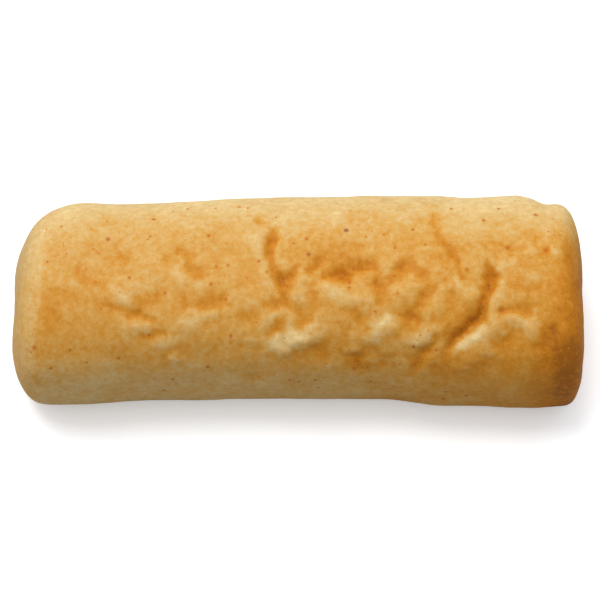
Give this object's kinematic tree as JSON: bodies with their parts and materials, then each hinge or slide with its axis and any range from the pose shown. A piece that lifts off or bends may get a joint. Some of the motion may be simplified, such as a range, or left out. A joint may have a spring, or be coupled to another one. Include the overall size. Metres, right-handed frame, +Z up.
{
  "type": "bread roll",
  "caption": "Soft log-shaped bread roll with a domed, wrinkled golden crust, rounded ends and a flat underside that it rests on.",
  "frame": {"origin": "centre of the roll's outline, on the surface it stands on", "axes": "+X along the roll to its browner end, +Z up, -Y towards its front side"},
  "size_m": [0.1658, 0.062, 0.044],
  "materials": {
    "crust": "matte baked crust, golden brown on top and paler low on the sides"
  },
  "bodies": {
    "root": {"bread_roll": "crust"}
  },
  "joints": []
}
